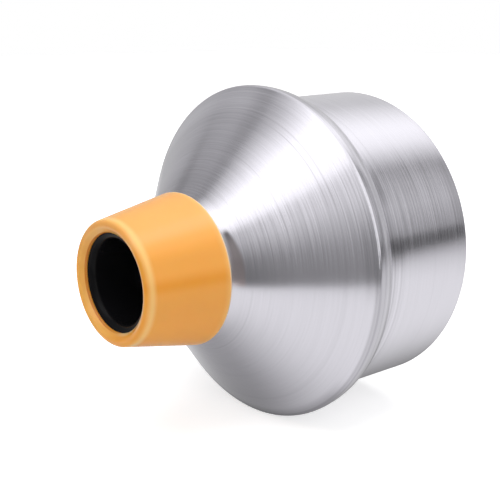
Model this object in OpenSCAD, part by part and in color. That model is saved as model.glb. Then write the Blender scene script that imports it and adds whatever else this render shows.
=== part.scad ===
// Wah-wah mute for a trumpet, lying with its axis along +X.
// The origin is on the axis in the plane of the neck ring's front face, and the base faces +X.

/* [Body] */
// Diameter over the rim, the widest point
rim_d = 100; // [90:0.5:120]
// Angle between the front cone's wall and the axis
cone_angle = 49.4; // [46:0.1:53]
// Length from the rim's front corner to the base
body_len = 43.9; // [38:0.1:70]
// Width of the crimped rim band
band_w = 5.4; // [4.5:0.1:6.5]
// Radius of the rim band's bulge, seen in section
band_round = 12.5; // [11:0.1:20]
// Step from the rim down to the drum, in radius
rim_step = 4.6; // [4.4:0.1:6]
// Growth of the drum's radius from the rim to the base
drum_flare = 0.6; // [0:0.1:2]
// Wall of the two spun shells
shell_wall = 1; // [0.7:0.05:1.3]
// Inside radius of the sharpest bends in the spun shells
shell_bend = 0.25; // [0.15:0.05:0.5]

/* [Base] */
// Width of the flat rim that the mute stands on
foot_w = 3; // [2:0.1:5]
// Depth of the recess in the base
recess_depth = 8; // [5:0.1:12]
// Angle of the recess wall to the axis
recess_angle = 14; // [6:0.5:25]
// Radius where the recess wall meets its floor
recess_round = 4; // [2:0.1:6]
// Depth of the shallow dish stamped in the recess floor
dish_depth = 1.6; // [0.8:0.1:2.4]
// Slope of the dish's side
dish_angle = 45; // [30:1:60]
// Diameter of the dish's flat middle
dish_d = 38; // [36:0.5:44]

/* [Neck] */
// Diameter of the cone's neck collar
collar_d = 30.4; // [29.4:0.1:32]
// Distance from the ring's front face to the end of the collar
collar_pos = 8; // [6:0.1:10]
// Distance from the ring's front face to where the lines of the collar and the cone meet
neck_pos = 21.8; // [21.5:0.1:26]
// Radius of the sweep from collar to cone
neck_sweep = 20; // [16:0.5:22]
// How far the neck ring reaches past that meeting point
ring_reach = 2.8; // [1:0.1:4]
// Width of the neck ring's front face
ring_face = 3.55; // [3:0.05:5]
// Angle between the neck ring's side and the axis
ring_taper = 11.2; // [10:0.1:14]
// Radius of the ring's outer front edge
ring_round = 1.6; // [1:0.1:2]
// Radius of the ring's outer rear edge
ring_rear_round = 0.8; // [0.4:0.1:1.4]
// Slope of the ring's dished front face
ring_dish = 43; // [20:1:50]
// Radius of the ring's inner front edge
ring_mouth_round = 0.5; // [0.3:0.1:0.8]
// Wall of the neck tube inside the collar
tube_wall = 2.55; // [2:0.05:3]
// Width of the neck tube's rounded lip
lip_w = 2; // [1.4:0.1:2.2]
// Depth of the neck tube's lip behind the ring's front face
lip_depth = 1.9; // [1.8:0.1:4]
// How far the neck tube reaches past the meeting point of collar and cone
tube_reach = 1.6; // [0:0.1:4]

/* [Stem] */
// Outer diameter of the stem tube
stem_d = 15.9; // [15:0.1:17]
// Wall of the stem tube
stem_wall = 0.8; // [0.5:0.1:1.2]
// Length of the stem tube
stem_len = 66; // [50:0.5:75]
// Width of the stem cup beyond the stem's side, at its mouth
cup_reach = 9; // [8:0.1:13]
// Depth of the stem cup's bowl
cup_depth = 12; // [9:0.1:16]
// Length of the stem cup's collar
cup_collar = 6; // [4:0.1:9]
// Wall of the stem cup
cup_wall = 0.8; // [0.6:0.1:1.1]
// Inside radius of the bead rolled round the stem cup's mouth
bead_bend = 0.35; // [0.2:0.05:0.8]
// Width of the flat ring in the bowl's floor
bowl_flat = 0.4; // [0.2:0.05:1]
// Radius where the cup's collar meets the bowl's floor
throat_round = 1.6; // [1:0.1:2.5]
// Radius where the bowl's floor meets its side
bowl_round = 3; // [2:0.1:4]

/* [Stem bush] */
// Width of the bush's outer flange
flange_w = 3.7; // [3:0.1:6]
// Thickness of the bush's outer flange
flange_t = 2.4; // [1.8:0.1:3.5]
// Wall of the bush's shank
shank_wall = 2.3; // [2:0.1:3]
// Wall of the bush's spring fingers
finger_wall = 1.8; // [1.6:0.1:1.9]
// Length of the spring fingers
finger_len = 13; // [10:0.1:16]
// Number of spring fingers
fingers = 6; // [4:1:8]
// Width of the slots between the fingers
slot_w = 1.4; // [1:0.1:2]
// Thickness of the nut inside the base
nut_t = 4; // [3:0.1:6]
// Wall of the nut at its flats
nut_wall = 3.1; // [2:0.1:5]
// Thickness of the rubber grip ring, seen in section
grip_t = 2; // [1.6:0.1:2.4]
// Distance from the fingers' tips to the grip ring's middle
grip_pos = 2.6; // [2.2:0.1:4]

/* [Fits] */
// Radial clearance between pieces that stay put
press_gap = 0.05; // [0.02:0.01:0.1]
// Radial clearance between the stem and its bush
slide_gap = 0.08; // [0.04:0.01:0.1]
// Gap between the stem cup and the bush when the stem is fully in
stop_gap = 0.2; // [0.1:0.05:0.5]

/* [Hidden] */
round_faces = 128;
cut_extra = 1;

// How far a chord may stand off the arc that it stands for
arc_sag = 0.002;

rim_r = rim_d / 2;
drum_r = rim_r - rim_step;
base_r = drum_r + drum_flare;
collar_r = collar_d / 2;
stem_r = stem_d / 2;
slide_r = stem_r + slide_gap;
finger_r = slide_r + finger_wall;
shank_r = slide_r + shank_wall;
flange_r = shank_r + flange_w;

// The front shell nests over the rear shell, and over the neck tube, with this much to its outer side
nest = shell_wall + press_gap;
bore_r = collar_r - nest - tube_wall;
tube_r = bore_r + lip_w;
tube_end = neck_pos + tube_reach;
ring_r = tube_r + ring_face;
ring_len = neck_pos + ring_reach;

// The sweep between the collar and the cone, and where the cone ends at the rim and the mute at its base
sweep_axis = [neck_pos - neck_sweep * tan(cone_angle / 2), collar_r + neck_sweep];
rim_x = neck_pos + (rim_r - collar_r) / tan(cone_angle);
base_x = rim_x + body_len;

// The rim band ends where its bulge has dropped this far and leans this much
band_lean = asin(band_w / band_round);
corner_round = shell_wall + shell_bend;
band_start = rim_x + corner_round * tan(cone_angle / 2);
band_end = band_start + band_w;
band_drop = band_round * (1 - cos(band_lean));

// The cone's hem is folded over the edge of the rear cup, which is nested inside it
hem_round = nest + shell_wall + shell_bend;
hem_axis = [band_end - hem_round * sin(band_lean), rim_r - band_drop - hem_round * cos(band_lean)];
hem_x = hem_axis[0] + hem_round;
hem_lip_r = hem_axis[1] - press_gap;
seam_x = hem_x - nest;
drum_fillet = hem_lip_r - press_gap - drum_r;

// Axial places of the base, the bush and the stem
floor_x = base_x - recess_depth;
seat_x = floor_x - dish_depth;
bush_out_x = seat_x + flange_t;
finger_root_x = seat_x - shell_wall - nut_t - press_gap;
finger_tip_x = finger_root_x - finger_len;
grip_x = finger_tip_x + grip_pos;
cup_x = bush_out_x + stop_gap;
bowl_x = cup_x + cup_collar;
cup_mouth_x = bowl_x + cup_depth;
stem_out_x = bowl_x + cup_wall;
stem_in_x = stem_out_x - stem_len;

// Points of an arc in the section plane, as [distance along the axis, radius]
function arc_steps(radius, turn) = ceil(abs(turn) / (2 * acos(1 - arc_sag / radius)));
function arc(centre, radius, from, to) =
    let (steps = arc_steps(radius, to - from))
    [for (i = [0:steps]) let (a = from + (to - from) * i / steps) centre + radius * [cos(a), sin(a)]];

// The right-hand normal of each corner of a path, stretched so that offset walls stay parallel
function side(a, b) = let (d = (b - a) / norm(b - a)) [d[1], -d[0]];
function mitre(path, i) =
    let (before = side(path[max(i - 1, 0)], path[max(i, 1)]),
         after = side(path[min(i, len(path) - 2)], path[min(i + 1, len(path) - 1)]))
    (before + after) / (1 + before * after);
function inset(path, depth) = [for (i = [0:len(path) - 1]) path[i] + depth * mitre(path, i)];
function backwards(path) = [for (i = [len(path) - 1:-1:0]) path[i]];

// A path without the points that two arcs share, or that close it
same_point = 0.001;
function distinct(path) =
    let (count = len(path))
    [for (i = [0:count - 1]) if (norm(path[i] - path[(i + count - 1) % count]) > same_point) path[i]];

// The closed section of a sheet of even thickness whose outer side is the path
function sheet(path, wall) =
    let (outer = distinct(path))
    concat(outer, backwards(inset(outer, wall)));

// The neck's outer surface, or one parallel to it, from the collar into the sweep as far as x
function sweep_to(x, depth) =
    let (radius = neck_sweep + depth)
    arc(sweep_axis, radius, 270, 270 + asin((x - sweep_axis[0]) / radius));

module turned(section) {
    rotate([0, 90, 0])
        rotate_extrude($fn = round_faces)
            polygon([for (p = distinct(section)) [p[1], p[0]]]);
}

// Soft tapered ring that grips the inside of the instrument's bell
module neck_ring() {
    mouth_r = tube_r + press_gap;
    seat_r = collar_r + press_gap;
    nose = [ring_round, ring_r + ring_round * (tan(ring_taper) - 1 / cos(ring_taper))];
    heel_x = ring_len - ring_rear_round;
    heel = [heel_x, ring_r + heel_x * tan(ring_taper) - ring_rear_round / cos(ring_taper)];
    face_w = nose[1] - mouth_r - ring_mouth_round;
    mouth_drop = (face_w * sin(ring_dish) - ring_round + ring_mouth_round) / cos(ring_dish);
    mouth = [ring_round + mouth_drop, mouth_r + ring_mouth_round];
    color("orange")
        turned(concat(
            [[collar_pos - press_gap, mouth_r]],
            arc(mouth, ring_mouth_round, 270, 180 + ring_dish),
            arc(nose, ring_round, 180 + ring_dish, 90 + ring_taper),
            arc(heel, ring_rear_round, 90 + ring_taper, 0),
            backwards(sweep_to(ring_len, -press_gap)),
            [[collar_pos - press_gap, seat_r]]
        ));
}

// Moulded tube that lines the neck, with a rounded lip and a flared inner end
module neck_tube() {
    body_r = collar_r - nest;
    color("#18191c")
        turned(concat(
            [[collar_pos, tube_r]],
            [[collar_pos, body_r]],
            sweep_to(tube_end, nest),
            backwards(sweep_to(tube_end, nest + tube_wall)),
            arc([lip_depth + lip_w, tube_r], lip_w, 270, 180)
        ));
}

// Outer side of the front shell, from the collar's end over the rim to the folded hem
cone_path = concat(
    [[collar_pos, collar_r]],
    arc(sweep_axis, neck_sweep, 270, 270 + cone_angle),
    arc([band_start, rim_r - corner_round], corner_round, 90 + cone_angle, 90),
    arc([band_start, rim_r - band_round], band_round, 90, 90 - band_lean),
    arc(hem_axis, hem_round, 90 - band_lean, 0),
    [[hem_x, hem_lip_r]]
);

// Spun front shell
module front_cone() {
    color("silver")
        turned(sheet(cone_path, shell_wall));
}

// Outer side of the rear shell, from the edge nested in the rim to the hole for the stem bush
base_round = shell_wall + shell_bend;
foot_in_r = base_r - base_round - foot_w;
recess_rounds = base_round + recess_round;
recess_wall = recess_depth - recess_rounds * (1 - sin(recess_angle));
recess_foot_r = foot_in_r - recess_wall * tan(recess_angle) - recess_rounds * cos(recess_angle);
dish_r = dish_d / 2;
dish_rounds = base_round + shell_bend;
dish_run = (dish_depth - dish_rounds * (1 - cos(dish_angle))) / tan(dish_angle);
dish_rim_r = dish_r + dish_rounds * sin(dish_angle) + dish_run;
cup_path = concat(
    arc([band_start, rim_r - band_round], band_round - nest, 90, 90 - band_lean),
    arc(hem_axis, hem_round - nest, 90 - band_lean, 0),
    arc([seam_x + drum_fillet, drum_r + drum_fillet], drum_fillet, 180, 270),
    arc([base_x - base_round, base_r - base_round], base_round, 90, 0),
    arc([base_x - base_round, foot_in_r], base_round, 0, recess_angle - 90),
    arc([floor_x + recess_round, recess_foot_r], recess_round, 90 + recess_angle, 180),
    arc([floor_x - base_round, dish_rim_r], base_round, 0, -dish_angle),
    arc([seat_x + shell_bend, dish_r], shell_bend, 180 - dish_angle, 180),
    [[seat_x, shank_r + press_gap]]
);

// Spun rear shell: drum, base and recess
module rear_cup() {
    color("silver")
        turned(sheet(cup_path, shell_wall));
}

// Moulded bush that the stem slides in, with an outer flange and sprung fingers
module stem_bush() {
    groove_r = finger_r - grip_t / 2;
    edge = finger_wall / 3;
    color("#18191c")
        difference() {
            turned([
                [finger_tip_x, slide_r + edge],
                [finger_tip_x, finger_r - edge],
                [finger_tip_x + edge, finger_r],
                [grip_x - grip_t / 2, finger_r],
                [grip_x - grip_t / 2, groove_r],
                [grip_x + grip_t / 2, groove_r],
                [grip_x + grip_t / 2, finger_r],
                [finger_root_x, finger_r],
                [finger_root_x, shank_r],
                [seat_x, shank_r],
                [seat_x, flange_r],
                [bush_out_x - edge, flange_r],
                [bush_out_x, flange_r - edge],
                [bush_out_x, slide_r + edge],
                [bush_out_x - edge, slide_r],
                [finger_tip_x + edge, slide_r]
            ]);
            for (i = [0:fingers - 1])
                rotate([360 * i / fingers, 0, 0])
                    translate([finger_tip_x - cut_extra, -slot_w / 2, 0])
                        cube([finger_len + cut_extra, slot_w, finger_r + cut_extra]);
        }
}

// Nut that clamps the bush from inside the base
module bush_nut() {
    hole_r = shank_r + press_gap;
    flat_r = hole_r + nut_wall;
    color("#202124")
        translate([seat_x - shell_wall - nut_t, 0, 0])
            rotate([0, 90, 0])
                difference() {
                    cylinder(h = nut_t, r = flat_r / cos(30), $fn = 6);
                    translate([0, 0, -cut_extra])
                        cylinder(h = nut_t + 2 * cut_extra, r = hole_r, $fn = round_faces);
                }
}

// Rubber ring that springs the fingers onto the stem
module grip_ring() {
    color("#26262a")
        turned(arc([grip_x, finger_r], grip_t / 2 - press_gap, 0, 360));
}

// Straight tube of the stem
module stem_tube() {
    bore = stem_r - stem_wall;
    edge = stem_wall / 4;
    color("silver")
        turned([
            [stem_in_x, bore + edge],
            [stem_in_x, stem_r - edge],
            [stem_in_x + edge, stem_r],
            [stem_out_x, stem_r],
            [stem_out_x, bore + edge],
            [stem_out_x - edge, bore],
            [stem_in_x + edge, bore]
        ]);
}

// Outer side of the stem cup, from its collar over the bowl to the bead rolled round its mouth
collar_out_r = stem_r + press_gap + cup_wall;
bowl_floor_r = collar_out_r + throat_round + bowl_flat;
bead_r = bead_bend + cup_wall;
bead_turn = 250;
bead = [cup_mouth_x - bead_r, stem_r + cup_reach - bead_r];

// The bowl's side touches the arc at its floor from outside and the bead from inside
bowl_turn = [bowl_x + bowl_round, bowl_floor_r];
bowl_rise = bead - bowl_turn;
cup_flare = atan2(bowl_rise[1], bowl_rise[0]) - asin((bowl_round + bead_bend) / norm(bowl_rise));
bowl_path = concat(
    [[cup_x, collar_out_r]],
    arc([bowl_x - throat_round, collar_out_r + throat_round], throat_round, 270, 360),
    arc(bowl_turn, bowl_round, 180, 90 + cup_flare),
    arc(bead, bead_bend, 270 + cup_flare, 270 + cup_flare + bead_turn)
);

// Spun cup on the outer end of the stem
module stem_cup() {
    color("silver")
        turned(sheet(bowl_path, cup_wall));
}

neck_ring();
neck_tube();
front_cone();
rear_cup();
stem_bush();
bush_nut();
grip_ring();
stem_tube();
stem_cup();
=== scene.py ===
"""The looks of a wah-wah mute: spun aluminium shells, an orange silicone neck ring and black mouldings.

Everything is in metres in the row's frame: the mute's axis is +X, the base faces +X and +Z is up.
Places on the pieces' surfaces are in millimetres.
"""

import math

import bpy
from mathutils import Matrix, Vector


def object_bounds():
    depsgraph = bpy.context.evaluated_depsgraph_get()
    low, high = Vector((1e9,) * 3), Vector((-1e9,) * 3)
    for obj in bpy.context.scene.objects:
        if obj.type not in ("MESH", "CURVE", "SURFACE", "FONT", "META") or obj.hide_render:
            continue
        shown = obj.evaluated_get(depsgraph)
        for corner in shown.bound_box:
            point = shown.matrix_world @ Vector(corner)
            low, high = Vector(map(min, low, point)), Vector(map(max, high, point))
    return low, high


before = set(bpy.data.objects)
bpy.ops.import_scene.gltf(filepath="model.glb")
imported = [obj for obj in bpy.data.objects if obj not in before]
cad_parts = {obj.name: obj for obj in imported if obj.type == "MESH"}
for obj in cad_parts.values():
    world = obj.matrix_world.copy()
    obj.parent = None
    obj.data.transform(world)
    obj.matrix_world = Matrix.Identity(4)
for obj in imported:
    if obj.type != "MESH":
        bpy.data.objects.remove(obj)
CAD_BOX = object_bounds()
MM = 0.001
WHITE = (1.0, 1.0, 1.0, 1.0)

# Where the photograph was taken from, in millimetres, and the size of its frame in pixels
CAMERA_PLACE = (-134.1, -205.6, 67.5)
CAMERA_AIM = (0.649, 0.724, -0.233)
PHOTO_SIDE = 500
FOCAL_PIXELS = 947.6
SENSOR = 36.0
CLIP_START = 0.01


def place_camera():
    data = bpy.data.cameras.new("camera")
    data.sensor_width = SENSOR
    data.lens = SENSOR * FOCAL_PIXELS / PHOTO_SIDE
    data.clip_start = CLIP_START
    camera = bpy.data.objects.new("camera", data)
    camera.location = Vector(CAMERA_PLACE) * MM
    camera.rotation_euler = Vector(CAMERA_AIM).to_track_quat("-Z", "Y").to_euler()
    bpy.context.scene.collection.objects.link(camera)
    bpy.context.scene.camera = camera


class Nodes:
    """Short calls for building one node tree."""

    def __init__(self, tree):
        self.tree = tree
        tree.nodes.clear()

    def add(self, kind, inputs=None, **settings):
        node = self.tree.nodes.new(kind)
        for name, value in settings.items():
            setattr(node, name, value)
        for name, value in (inputs or {}).items():
            self.feed(node.inputs[name], value)
        return node

    def feed(self, socket, value):
        if isinstance(value, bpy.types.NodeSocket):
            self.tree.links.new(value, socket)
        elif isinstance(value, bpy.types.Node):
            self.tree.links.new(value.outputs[0], socket)
        else:
            socket.default_value = value

    def math(self, operation, *values):
        node = self.add("ShaderNodeMath", operation=operation)
        for socket, value in zip(node.inputs, values):
            self.feed(socket, value)
        return node.outputs[0]

    def product(self, first, *others):
        total = first
        for value in others:
            total = self.math("MULTIPLY", total, value)
        return total

    def vector(self, x, y, z):
        return self.add("ShaderNodeCombineXYZ", {"X": x, "Y": y, "Z": z}).outputs[0]

    def scale_to(self, value, low, high, to_low, to_high, kind="LINEAR"):
        """The value mapped from one range onto another, and held at its ends."""
        node = self.add("ShaderNodeMapRange", interpolation_type=kind)
        for socket, v in zip(node.inputs, (value, low, high, to_low, to_high)):
            self.feed(socket, v)
        return node.outputs[0]

    def rise(self, value, low, high):
        """0 up to low and 1 from high, smooth between them."""
        return self.scale_to(value, low, high, 0.0, 1.0, "SMOOTHSTEP")

    def fall(self, value, low, high, peak=1.0):
        """The peak up to low and 0 from high, smooth between them."""
        return self.scale_to(value, low, high, peak, 0.0, "SMOOTHSTEP")

    def bell(self, value, centre, half, peak=1.0):
        """The peak at the centre, falling smoothly to 0 at half to either side."""
        off = self.math("ABSOLUTE", self.math("SUBTRACT", value, centre))
        return self.fall(off, 0.0, half, peak)

    def window(self, value, low, high, soft):
        """1 between low and high, with soft edges."""
        up = self.rise(value, low - soft, low + soft)
        down = self.fall(value, high - soft, high + soft)
        return self.product(up, down)

    def mix(self, factor, a, b, blend="MIX"):
        node = self.add("ShaderNodeMix", data_type="RGBA", blend_type=blend)
        for socket, value in ((node.inputs[0], factor), (node.inputs[6], a), (node.inputs[7], b)):
            self.feed(socket, value)
        return node.outputs[2]

    def ray_is(self, *kinds):
        """1 for a ray of any of the named kinds."""
        path = self.add("ShaderNodeLightPath")
        found = 0.0
        for kind in kinds:
            found = self.math("MAXIMUM", found, path.outputs[f"Is {kind} Ray"])
        return found


def new_material(name):
    """An empty material, and its node tree."""
    made = bpy.data.materials.new(name)
    made.use_nodes = True
    return made, Nodes(made.node_tree)


# The even level that the world gives to matt surfaces
FILL_LEVEL = 0.55
# The lamps, each with its place, its width and depth, and its power in watts, all turned to one point
LAMP_TARGET = (0.05, 0.0, 0.0)
LAMPS = (
    ("top_softbox", (0.05, -0.10, 0.75), (1.2, 0.5), 5.2),
    ("front_fill", (-0.8, -0.5, 0.25), (0.7, 0.7), 0.8),
)


def light_world():
    """White behind the object and in what it mirrors, and a plain even level for the rest."""
    world = bpy.data.worlds.new("studio")
    world.use_nodes = True
    bpy.context.scene.world = world
    nodes = Nodes(world.node_tree)
    seen = nodes.ray_is("Camera", "Glossy", "Transmission")
    white = nodes.add("ShaderNodeBackground", {"Color": WHITE, "Strength": 1.0})
    fill = nodes.add("ShaderNodeBackground", {"Color": WHITE, "Strength": FILL_LEVEL})
    both = nodes.add("ShaderNodeMixShader", {0: seen, 1: fill, 2: white})
    nodes.add("ShaderNodeOutputWorld", {"Surface": both})


def add_lamp(name, place, size, power):
    data = bpy.data.lights.new(name, "AREA")
    data.shape = "RECTANGLE"
    data.size, data.size_y = size
    data.energy = power
    lamp = bpy.data.objects.new(name, data)
    lamp.location = place
    lamp.rotation_euler = (Vector(LAMP_TARGET) - Vector(place)).to_track_quat("-Z", "Y").to_euler()
    lamp.visible_camera = False
    lamp.visible_glossy = False
    bpy.context.scene.collection.objects.link(lamp)


# The studio round the mute is a tent of long cards parallel to its axis. Each card has a stretch along
# the axis and covers the angles from one value to the next, in degrees round the axis: 0 is away from the
# camera, 90 is up, 180 is towards the camera. Its grey goes evenly from the first level to the second.
TENT_RADIUS = 0.7
NECK_SIDE = (-1.6, 0.03)
MIDDLE = (0.03, 0.62)
BASE_SIDE = (0.62, 1.08)
CREASE_SIDE = (0.62, 0.70)
DRUM_SIDE = (0.70, 1.08)
FAR_SIDE = (1.08, 1.7)
CARDS = (
    ("neck_back_low", NECK_SIDE, -45, 30, 0.28, 0.34),
    ("neck_back", NECK_SIDE, 30, 48, 0.43, 0.45),
    ("neck_back_dark", NECK_SIDE, 48, 58, 0.38, 0.33),
    ("neck_top_rise", NECK_SIDE, 58, 89, 0.47, 1.78),
    ("neck_top", NECK_SIDE, 89, 118, 1.65, 1.50),
    ("neck_front_high", NECK_SIDE, 118, 142, 0.92, 0.82),
    ("neck_front", NECK_SIDE, 142, 172, 0.76, 0.35),
    ("neck_front_low", NECK_SIDE, 172, 215, 0.36, 0.20),
    ("neck_front_floor", NECK_SIDE, 215, 250, 0.20, 0.20),
    ("middle_back", MIDDLE, -45, 35, 0.66, 0.47),
    ("middle_top_rise", MIDDLE, 35, 89, 0.50, 1.30),
    ("middle_top", MIDDLE, 89, 121, 1.30, 1.20),
    ("middle_front", MIDDLE, 121, 178, 1.20, 1.00),
    ("middle_front_low", MIDDLE, 178, 205, 0.30, 0.30),
    ("base_back", BASE_SIDE, -45, 50, 0.74, 0.72),
    ("base_top_rise", BASE_SIDE, 50, 76, 0.76, 1.30),
    ("base_top", BASE_SIDE, 76, 89, 1.32, 1.42),
    ("base_top_end", BASE_SIDE, 89, 99, 1.36, 1.28),
    ("base_top_fall", BASE_SIDE, 99, 119, 1.28, 0.42),
    ("base_front_high", BASE_SIDE, 119, 130, 0.34, 0.44),
    ("base_front", BASE_SIDE, 130, 150, 0.48, 0.60),
    ("base_front_fall", BASE_SIDE, 150, 173, 0.60, 0.37),
    ("crease_low", CREASE_SIDE, 173, 205, 0.12, 0.12),
    ("base_front_low", DRUM_SIDE, 173, 205, 0.08, 0.08),
    ("far_back", FAR_SIDE, -45, 52, 0.80, 0.80),
    ("far_top", FAR_SIDE, 52, 112, 0.85, 0.90),
    ("far_front", FAR_SIDE, 112, 150, 0.54, 0.46),
    ("far_front_low", FAR_SIDE, 150, 205, 0.38, 0.30),
)
# A card is bent once in about so many degrees
CARD_BEND = 3
# The tent's two ends, each a disc with its place along the axis and its grey
ENDS = (("neck_end", NECK_SIDE[0], 0.25), ("base_end", FAR_SIDE[1], 0.65))
END_POINTS = 48
# A bright strip beside the camera, which draws the lines on the ring's front edge and the rim's crease
STRIP = ("front_strip", (-0.26, -0.12), 128, 184, 1.6, 1.6)
STRIP_RADIUS = 0.68


def tent_card(name, span, start, end, first, last, radius=TENT_RADIUS):
    """A long card from one angle to another."""
    steps = max(2, math.ceil((end - start) / CARD_BEND))
    verts = []
    levels = []
    for i in range(steps + 1):
        turn = math.radians(start + (end - start) * i / steps)
        for x in span:
            verts.append((x, radius * math.cos(turn), radius * math.sin(turn)))
            levels.append(first + (last - first) * i / steps)
    hang(name, verts, [(2 * i, 2 * i + 1, 2 * i + 3, 2 * i + 2) for i in range(steps)], levels)


def tent_end(name, place, level):
    """A disc that closes one end of the tent."""
    turns = [math.tau * i / END_POINTS for i in range(END_POINTS)]
    rim = [(place, TENT_RADIUS * math.cos(turn), TENT_RADIUS * math.sin(turn)) for turn in turns]
    hang(name, rim, [tuple(range(END_POINTS))], [level] * END_POINTS)


def hang(name, verts, faces, levels):
    """A card with a grey level at each vertex, which only mirror-like rays see."""
    mesh = bpy.data.meshes.new(name)
    mesh.from_pydata(verts, [], faces)
    shade = mesh.attributes.new("shade", "FLOAT", "POINT")
    for point, level in zip(shade.data, levels):
        point.value = level
    mesh.materials.append(card_material())
    card = bpy.data.objects.new(name, mesh)
    bpy.context.scene.collection.objects.link(card)
    card.visible_camera = False
    card.visible_diffuse = False
    card.visible_shadow = False


def card_material():
    """The one material of all cards, which glows by their grey levels."""
    made = bpy.data.materials.get("tent_card")
    if made:
        return made
    made, nodes = new_material("tent_card")
    shade = nodes.add("ShaderNodeAttribute", attribute_name="shade")
    glow = nodes.add("ShaderNodeEmission", {"Color": WHITE, "Strength": shade.outputs["Fac"]})
    nodes.add("ShaderNodeOutputMaterial", {"Surface": glow})
    return made


# The rim rests on the floor, and the photograph shows the axis level
FLOOR_Z = CAD_BOX[0].z
# Seen from above, the floor stops short in front of the mute and beside the camera, where the metal
# mirrors the tent's low cards past its edge
FLOOR_CORNERS = ((-0.088, 3.0), (-0.088, -0.20), (0.30, -0.34), (0.87, -0.80), (3.0, -2.40), (3.0, 3.0))
FLOOR_COLOUR = (0.9, 0.9, 0.9, 1.0)
# With this glow added to the lamps' light, the floor is white to the camera
FLOOR_GLOW = 0.56
# The floor glows in what the metal mirrors of it, with a painted shadow in a dark strip under the mute. Each
# of these gives two places along the axis and the values there: the strip's middle across the axis, how dark
# it is and how wide on the camera's side. On the other side it has one width.
SHADE_MIDDLE = (0.03, 0.09, 0.004, -0.012)
SHADE_DEPTH = (0.02, 0.05, 0.56, 0.70)
SHADE_WIDTH = (0.05, 0.09, 0.031, 0.0245)
SHADE_FAR_WIDTH = 0.055
# Its glow is also painted darker behind the base, in two steps written the same way
FLOOR_FADES = ((0.18, 0.50, 1.0, 0.50), (0.50, 0.80, 1.0, 0.75))


def lay_floor():
    mesh = bpy.data.meshes.new("floor")
    mesh.from_pydata([(x, y, FLOOR_Z) for x, y in FLOOR_CORNERS], [], [tuple(range(len(FLOOR_CORNERS)))])
    mesh.materials.append(floor_material())
    floor = bpy.data.objects.new("floor", mesh)
    bpy.context.scene.collection.objects.link(floor)


def floor_material():
    """A pale matt floor, white to the camera apart from the shadow, which reflections see as a glow with a
    painted shadow.
    """
    made, nodes = new_material("floor")
    matt = nodes.add("ShaderNodeBsdfDiffuse", {"Color": FLOOR_COLOUR, "Roughness": 1.0})
    seen = nodes.product(nodes.ray_is("Camera", "Transmission"), FLOOR_GLOW)
    glow = nodes.add("ShaderNodeEmission", {"Color": WHITE, "Strength": seen})
    plain = nodes.add("ShaderNodeAddShader", {0: matt, 1: glow})
    mirrored = nodes.add("ShaderNodeEmission", {"Color": WHITE, "Strength": painted_floor_reflection(nodes)})
    both = nodes.add("ShaderNodeMixShader", {0: nodes.ray_is("Glossy"), 1: plain, 2: mirrored})
    nodes.add("ShaderNodeOutputMaterial", {"Surface": both})
    return made


def painted_floor_reflection(nodes):
    """The floor's glow as the metal mirrors it: a painted shadow close under the mute, and painted darker far
    behind its base.
    """
    place = nodes.add("ShaderNodeTexCoord").outputs["Object"]
    x, y, _ = nodes.add("ShaderNodeSeparateXYZ", {"Vector": place}).outputs
    off = nodes.math("SUBTRACT", y, nodes.scale_to(x, *SHADE_MIDDLE))
    near_width = nodes.scale_to(x, *SHADE_WIDTH)
    beyond = nodes.math("GREATER_THAN", off, 0.0)
    wider = nodes.math("SUBTRACT", SHADE_FAR_WIDTH, near_width)
    away = nodes.math("DIVIDE", off, nodes.math("MULTIPLY_ADD", beyond, wider, near_width))
    dip = nodes.math("EXPONENT", nodes.product(away, away, -1.0))
    shade = nodes.math("SUBTRACT", 1.0, nodes.product(dip, nodes.scale_to(x, *SHADE_DEPTH)))
    return nodes.product(shade, *(nodes.scale_to(x, *fade) for fade in FLOOR_FADES))


# The aluminium's colour, and the shares of it and of its roughness that the tool lines run between
ALUMINIUM = (0.70, 0.685, 0.74)
METAL_TONES = (0.82, 1.18)
METAL_ROUGHNESS = (0.7, 1.3)
# The tool lines, fine and broad: their pitch in millimetres, how fast they change round the axis, the
# noise's detail, their share and what is added to the seed
TOOL_LINES = ((0.33, 1.4, 2.0, 0.93, 0.0), (1.3, 1.0, 3.0, 0.07, 7.0))
# What the noise of the lines runs between
LINE_NOISE = (0.32, 0.68)
# The lines show least where the even floor is mirrored, most in the darker reflections, between two
# heights with so soft an end, and a little more again from one height near the top to another. Heights
# are z over radius.
LINES_LEAST = 0.15
LINES_MOST = (0.20, 0.64, 0.16)
LINES_TOP = (0.80, 0.95, LINES_LEAST, 0.36)
# The least radius, in metres, by which heights and sides are worked out
LEAST_RADIUS = 1e-5


def round_coordinates(nodes):
    """How far along the axis and from it, in millimetres, and the side and height: y and z over radius."""
    place = nodes.add("ShaderNodeTexCoord").outputs["Object"]
    x, y, z = nodes.add("ShaderNodeSeparateXYZ", {"Vector": place}).outputs
    squares = nodes.math("ADD", nodes.product(y, y), nodes.product(z, z))
    radius = nodes.math("MAXIMUM", nodes.math("SQRT", squares), LEAST_RADIUS)
    side = nodes.math("DIVIDE", y, radius)
    height = nodes.math("DIVIDE", z, radius)
    return nodes.product(x, 1 / MM), nodes.product(radius, 1 / MM), side, height


def streaks(nodes, pitch, turns, detail, seed):
    """Noise drawn out round the axis, so that it makes lines a pitch apart that fade in and out."""
    x, radius, side, height = round_coordinates(nodes)
    inputs = {
        "Vector": nodes.vector(
            nodes.product(x, 1 / pitch),
            nodes.product(radius, 1 / pitch),
            nodes.math("MULTIPLY_ADD", side, turns, seed),
        ),
        "W": nodes.product(height, turns),
        "Scale": 1.0,
        "Detail": detail,
        "Roughness": 0.6,
    }
    return nodes.add("ShaderNodeTexNoise", inputs, noise_dimensions="4D").outputs["Fac"]


def tool_lines(nodes, seed):
    """The fine and the broad lines, added up by their shares."""
    total = 0.0
    for pitch, turns, detail, share, more in TOOL_LINES:
        total = nodes.math("MULTIPLY_ADD", streaks(nodes, pitch, turns, detail, seed + more), share, total)
    return total


def tint(colour, factor):
    """A colour made lighter or darker, with its alpha."""
    return tuple(min(1.0, c * factor) for c in colour) + (1.0,)


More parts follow.
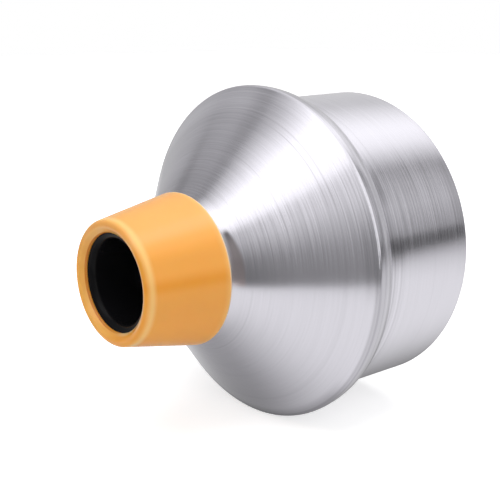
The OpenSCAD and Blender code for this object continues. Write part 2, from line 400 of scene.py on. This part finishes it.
def metal(name, roughness, anisotropy, seed, painted_light_and_lines=(), painted_ring_reflection=False):
    """Spun or drawn aluminium, with its tool lines round the axis, any painted light and spin lines given as
    marks, and the painted reflection of the neck ring where asked.
    """
    made, nodes = new_material(name)
    x, _, side, height = round_coordinates(nodes)
    lines = tool_lines(nodes, seed)
    strength = nodes.math("MULTIPLY_ADD", nodes.window(height, *LINES_MOST), 1.0 - LINES_LEAST, LINES_LEAST)
    strength = nodes.math("MAXIMUM", strength, nodes.scale_to(height, *LINES_TOP))
    swing = nodes.product(nodes.scale_to(lines, *LINE_NOISE, -0.5, 0.5), strength)
    dark, light = (tint(ALUMINIUM, share) for share in METAL_TONES)
    smooth, rough = (roughness * share for share in METAL_ROUGHNESS)
    face = nodes.mix(nodes.math("ADD", swing, 0.5), dark, light)
    if painted_light_and_lines:
        face = add_painted_light_and_lines(nodes, face, painted_light_and_lines, x, side, height)
    if painted_ring_reflection:
        face = add_painted_ring_reflection(nodes, face, x, side, height)
    inputs = {
        "Base Color": face,
        "Metallic": 1.0,
        "Roughness": nodes.scale_to(swing, -0.5, 0.5, smooth, rough),
        "Anisotropic": anisotropy,
        "Anisotropic Rotation": 0.25,
        "Tangent": nodes.add("ShaderNodeTangent", direction_type="RADIAL", axis="X"),
        "Normal": nodes.add("ShaderNodeBump", {"Height": lines, "Strength": 0.3, "Distance": 0.02 * MM}),
    }
    nodes.add("ShaderNodeOutputMaterial", {"Surface": nodes.add("ShaderNodeBsdfPrincipled", inputs)})
    return made


# Marks on the shells, most of them painted light: painted reflection bands, painted shade and painted
# highlight lines, with a few thin spin lines among them. Each gives where along the axis it starts and ends,
# in millimetres, and how soft its edges are, how much lighter or darker it is, over which heights and on
# which sides it shows.
# Heights are z over radius and sides y over radius, with the camera on the negative side, and PAST lies
# beyond both.
PAST = 1.3
ALL = (-PAST, PAST)
NEAR, FAR = (-PAST, 0.0), (-0.2, PAST)
TOP, UPPER, LOWER, UNDER = (0.8, PAST), (0.55, PAST), (-PAST, 0.08), (-PAST, -0.66)
# How soft a mark ends over the height and over the side
HEIGHT_BLUR, SIDE_BLUR = 0.10, 0.15
# Cone: painted reflection bands and painted shade, a painted shadow line along the rim's crease and a painted
# darker underside; the thin lines at 29.4, 36.1, 36.8, 44.8 and 46.0 are spin lines, and the narrow ones from
# 53.5 on are painted highlight and shade lines on the band
CONE_PAINTED_LIGHT_AND_LINES = (
    (20.0, 33.0, 5.0, -0.22, (-0.05, 0.62), NEAR),
    (20.0, 32.0, 3.0, -0.10, UPPER, FAR),
    (46.0, 50.5, 2.0, 0.14, UPPER, FAR),
    (38.0, 51.3, 3.0, 0.08, TOP, (-0.12, 0.14)),
    (43.0, 51.3, 2.5, -0.13, TOP, (-0.46, -0.22)),
    (29.4, 29.6, 0.15, -0.06, ALL, ALL),
    (36.1, 36.3, 0.12, 0.08, (0.2, PAST), ALL),
    (36.8, 37.0, 0.12, -0.08, (0.2, PAST), ALL),
    (45.2, 46.0, 0.40, -0.04, LOWER, ALL),
    (44.8, 45.0, 0.12, -0.20, (0.45, 0.92), NEAR),
    (46.0, 46.2, 0.12, -0.18, (0.45, 0.92), NEAR),
    (49.0, 51.3, 0.60, -0.15, (-0.04, 0.35), NEAR),
    (50.8, 51.4, 0.25, -0.24, LOWER, ALL),
    (49.8, 60.0, 1.20, -0.34, UNDER, ALL),
    (52.3, 60.0, 0.20, -0.20, (0.84, PAST), ALL),
    (51.4, 60.0, 0.20, -0.23, LOWER, ALL),
    (51.5, 52.1, 0.15, -0.12, LOWER, ALL),
    (53.5, 54.0, 0.15, -0.10, ALL, ALL),
    (54.7, 55.2, 0.15, 0.08, ALL, ALL),
    (55.9, 56.4, 0.15, -0.11, ALL, ALL),
    (57.0, 57.5, 0.15, 0.13, (-PAST, 0.8), ALL),
)
# Drum: the wide ones are painted reflection bands and painted shade near the camera and underneath; the
# narrow ones from 62.6 on are spin lines
DRUM_PAINTED_LIGHT_AND_LINES = (
    (50.0, 64.0, 2.5, -0.50, (0.46, 0.54), ALL),
    (60.0, 67.0, 1.5, -0.34, (0.10, 0.22), NEAR),
    (50.0, 63.0, 1.5, -0.18, (0.24, 0.42), NEAR),
    (60.0, 66.5, 1.5, -0.06, LOWER, ALL),
    (62.6, 63.2, 0.25, -0.14, (-PAST, 0.60), ALL),
    (64.4, 65.1, 0.25, 0.09, LOWER, ALL),
    (65.5, 65.9, 0.15, -0.07, ALL, ALL),
    (72.4, 72.6, 0.15, 0.05, ALL, ALL),
    (80.4, 80.6, 0.15, -0.05, ALL, ALL),
)


def add_painted_light_and_lines(nodes, face, painted_light_and_lines, x, side, height):
    """The face's colour, made lighter or darker by each mark in turn: painted light and shade, and spin
    lines.
    """
    factor = 1.0
    for begin, end, soft, change, heights, sides in painted_light_and_lines:
        shown = nodes.window(x, begin, end, soft)
        for value, limits, blur in ((height, heights, HEIGHT_BLUR), (side, sides, SIDE_BLUR)):
            if limits != ALL:
                shown = nodes.product(shown, nodes.window(value, *limits, blur))
        factor = nodes.product(factor, nodes.math("MULTIPLY_ADD", shown, change, 1.0))
    return nodes.mix(1.0, face, nodes.vector(factor, factor, factor), "MULTIPLY")


# A painted reflection: the dark crescent that the neck ring's back makes in the sweep behind it, beside the
# camera, painted into the metal's colour. In millimetres along the axis: where it comes in, where it ends and
# how softly, and how fast its end comes back above the height IMAGE_BEND. Then the heights that it covers,
# and its colour at two heights.
IMAGE_START = (25.5, 26.6)
IMAGE_END = 28.25
IMAGE_SOFT = 0.4
IMAGE_CURVE = 4.4
IMAGE_BEND = 0.10
IMAGE_HEIGHTS = (-0.05, 0.63, 0.04)
IMAGE_LOW, IMAGE_LOW_COLOUR = 0.0, (0.66, 0.58, 0.60, 1.0)
IMAGE_HIGH, IMAGE_HIGH_COLOUR = 0.6, (0.15, 0.14, 0.145, 1.0)


def add_painted_ring_reflection(nodes, face, x, side, height):
    """The face's colour with the painted reflection of the ring's crescent over it."""
    over = nodes.math("MAXIMUM", nodes.math("SUBTRACT", height, IMAGE_BEND), 0.0)
    end = nodes.math("MULTIPLY_ADD", nodes.product(over, over), -IMAGE_CURVE, IMAGE_END)
    shown = nodes.product(
        nodes.rise(x, *IMAGE_START),
        nodes.fall(nodes.math("SUBTRACT", x, end), -IMAGE_SOFT, IMAGE_SOFT),
        nodes.math("LESS_THAN", side, 0.0),
        nodes.window(height, *IMAGE_HEIGHTS),
    )
    darkness = nodes.scale_to(height, IMAGE_LOW, IMAGE_HIGH, 0.0, 1.0)
    return nodes.mix(shown, face, nodes.mix(darkness, IMAGE_LOW_COLOUR, IMAGE_HIGH_COLOUR))


# The two oranges that the silicone drifts between, and what the noise that moves them runs between
ORANGES = ((0.90, 0.370, 0.036, 1.0), (0.95, 0.410, 0.052, 1.0))
NOISE_SPAN = (0.3, 0.7)


def noise(nodes, scale, detail):
    """Even noise through the whole piece."""
    place = nodes.add("ShaderNodeTexCoord").outputs["Object"]
    return nodes.add("ShaderNodeTexNoise", {"Vector": place, "Scale": scale, "Detail": detail}).outputs["Fac"]


def ring_painted_light_and_shade(nodes):
    """Painted light and shade over the ring's plain orange, from the lowest layer up, each with its strength
    and colour.
    """
    x, radius, side, height = round_coordinates(nodes)
    # A painted lighter top and darker bands, painted highlights on the rounded nose, the rear edge, the lip
    # and the mouth's edge, and a painted shade line inside the mouth
    near = nodes.fall(side, -0.4, 0.1)
    away = nodes.rise(side, -0.3, 0.4)
    top = nodes.scale_to(height, 0.50, 0.80, 0.0, 0.30)
    top_line = nodes.bell(height, 0.76, 0.12, peak=0.15)
    shoulder = nodes.bell(height, 0.43, 0.20, peak=0.45)
    flank = nodes.bell(height, 0.13, 0.16, peak=0.60)
    nose = nodes.product(nodes.bell(x, 1.5, 1.6, peak=0.8), nodes.scale_to(radius, 15.8, 17.0, 0.0, 1.0))
    rear = nodes.bell(x, 24.5, 2.6, peak=0.5)
    rear_edge = nodes.product(nodes.bell(x, 24.4, 0.9), nodes.scale_to(height, -0.2, 0.5, 0.40, 1.0))
    lip_heights = nodes.window(height, -0.62, 0.80, 0.12)
    near_lip = nodes.product(nodes.scale_to(radius, 15.0, 15.9, 0.8, 0.0), near, lip_heights)
    far_face = nodes.product(nodes.scale_to(radius, 15.3, 15.8, 0.5, 0.0), away)
    near_mouth = nodes.product(nodes.scale_to(radius, 13.7, 14.5, 0.8, 0.0), near)
    mouth_line = nodes.product(nodes.bell(radius, 13.80, 0.30), away)
    return (
        (top, (0.98, 0.54, 0.22, 1.0)),
        (top_line, (1.0, 0.62, 0.28, 1.0)),
        (shoulder, (0.80, 0.34, 0.035, 1.0)),
        (flank, (0.88, 0.33, 0.018, 1.0)),
        (nose, (1.0, 0.61, 0.20, 1.0)),
        (rear, (1.0, 0.60, 0.20, 1.0)),
        (rear_edge, (1.0, 0.88, 0.68, 1.0)),
        (near_lip, (0.80, 0.60, 0.38, 1.0)),
        (far_face, (1.0, 0.56, 0.14, 1.0)),
        (near_mouth, (0.80, 0.60, 0.32, 1.0)),
        (mouth_line, (0.66, 0.19, 0.002, 1.0)),
    )


def silicone():
    """Orange silicone with a soft gloss, painted lighter on top and along its rounded edges, with a painted
    shade line in its mouth.
    """
    made, nodes = new_material("orange_silicone")
    clouds = noise(nodes, 60.0, 3.0)
    grain = noise(nodes, 900.0, 2.0)
    colour = nodes.mix(clouds, *ORANGES)
    for strength, layer in ring_painted_light_and_shade(nodes):
        colour = nodes.mix(strength, colour, layer)
    inputs = {
        "Base Color": colour,
        "Roughness": nodes.scale_to(clouds, *NOISE_SPAN, 0.20, 0.27),
        "Subsurface Weight": 0.30,
        "Subsurface Radius": (1.0, 0.5, 0.2),
        "Subsurface Scale": 0.8 * MM,
        "Specular IOR Level": 0.6,
        "Normal": nodes.add("ShaderNodeBump", {"Height": grain, "Strength": 0.03, "Distance": 0.02 * MM}),
    }
    nodes.add("ShaderNodeOutputMaterial", {"Surface": nodes.add("ShaderNodeBsdfPrincipled", inputs)})
    return made


# The shares of a moulding's colour and of its roughness that its flow runs between
FLOW_TONES = (0.8, 1.25)
FLOW_ROUGHNESS = (0.8, 1.3)


def moulding(name, colour, roughness, gloss=0.5):
    """Black moulded plastic or rubber with a faint flow in its gloss."""
    made, nodes = new_material(name)
    flow = noise(nodes, 140.0, 4.0)
    dark, light = (tint(colour, share) for share in FLOW_TONES)
    smooth, rough = (roughness * share for share in FLOW_ROUGHNESS)
    inputs = {
        "Base Color": nodes.mix(flow, dark, light),
        "Roughness": nodes.scale_to(flow, *NOISE_SPAN, smooth, rough),
        "Specular IOR Level": gloss,
        "Normal": nodes.add("ShaderNodeBump", {"Height": flow, "Strength": 0.05, "Distance": 0.05 * MM}),
    }
    nodes.add("ShaderNodeOutputMaterial", {"Surface": nodes.add("ShaderNodeBsdfPrincipled", inputs)})
    return made


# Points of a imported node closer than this, in metres, are joined, and its edges are smooth where the
# faces beside them turn by less than this angle, in degrees
JOIN_DISTANCE = 0.5e-6
SMOOTH_ANGLE = 24


def smooth_shading():
    """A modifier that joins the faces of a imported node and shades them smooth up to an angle."""
    tree = bpy.data.node_groups.new("smooth_shading", "GeometryNodeTree")
    for way in ("INPUT", "OUTPUT"):
        tree.interface.new_socket("Geometry", in_out=way, socket_type="NodeSocketGeometry")
    nodes = Nodes(tree)
    start = nodes.add("NodeGroupInput")
    bare = nodes.add("GeometryNodeRemoveAttribute", {"Geometry": start, "Name": "custom_normal"})
    joined = nodes.add("GeometryNodeMergeByDistance", {"Geometry": bare, "Distance": JOIN_DISTANCE})
    angle = nodes.add("GeometryNodeInputMeshEdgeAngle").outputs["Unsigned Angle"]
    soft = nodes.math("LESS_THAN", angle, math.radians(SMOOTH_ANGLE))
    faces = nodes.add("GeometryNodeSetShadeSmooth", {"Geometry": joined, "Shade Smooth": True}, domain="FACE")
    edges = nodes.add("GeometryNodeSetShadeSmooth", {"Geometry": faces, "Shade Smooth": soft}, domain="EDGE")
    nodes.add("NodeGroupOutput", {0: edges})
    return tree


def dress(node, material, shading):
    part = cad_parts[node]
    for slot in part.material_slots:
        slot.material = material
    modifier = part.modifiers.new("smooth_shading", "NODES")
    modifier.node_group = shading


# How the two large shells are finished
SHELL = {"roughness": 0.21, "anisotropy": 0.35}


def dress_all():
    shading = smooth_shading()
    finishes = {
        "neck_ring": silicone(),
        "neck_tube": moulding("black_gloss", (0.006, 0.006, 0.007), roughness=0.20, gloss=0.085),
        "front_cone": metal("spun_cone", **SHELL, seed=0.0, painted_light_and_lines=CONE_PAINTED_LIGHT_AND_LINES, painted_ring_reflection=True),
        "rear_cup": metal("spun_drum", **SHELL, seed=31.0, painted_light_and_lines=DRUM_PAINTED_LIGHT_AND_LINES),
        "stem_bush": moulding("black_satin", (0.018, 0.018, 0.020), roughness=0.32),
        "bush_nut": moulding("black_nut", (0.020, 0.020, 0.022), roughness=0.38),
        "grip_ring": moulding("black_rubber", (0.022, 0.022, 0.024), roughness=0.55),
        "stem_tube": metal("drawn_tube", roughness=0.28, anisotropy=0.7, seed=53.0),
        "stem_cup": metal("spun_cup", roughness=0.30, anisotropy=0.8, seed=71.0),
    }
    for node, material in finishes.items():
        dress(node, material, shading)


bpy.context.scene.view_settings.view_transform = "Standard"
place_camera()
light_world()
for lamp in LAMPS:
    add_lamp(*lamp)
lay_floor()
for card in CARDS:
    tent_card(*card)
for end in ENDS:
    tent_end(*end)
tent_card(*STRIP, radius=STRIP_RADIUS)
dress_all()
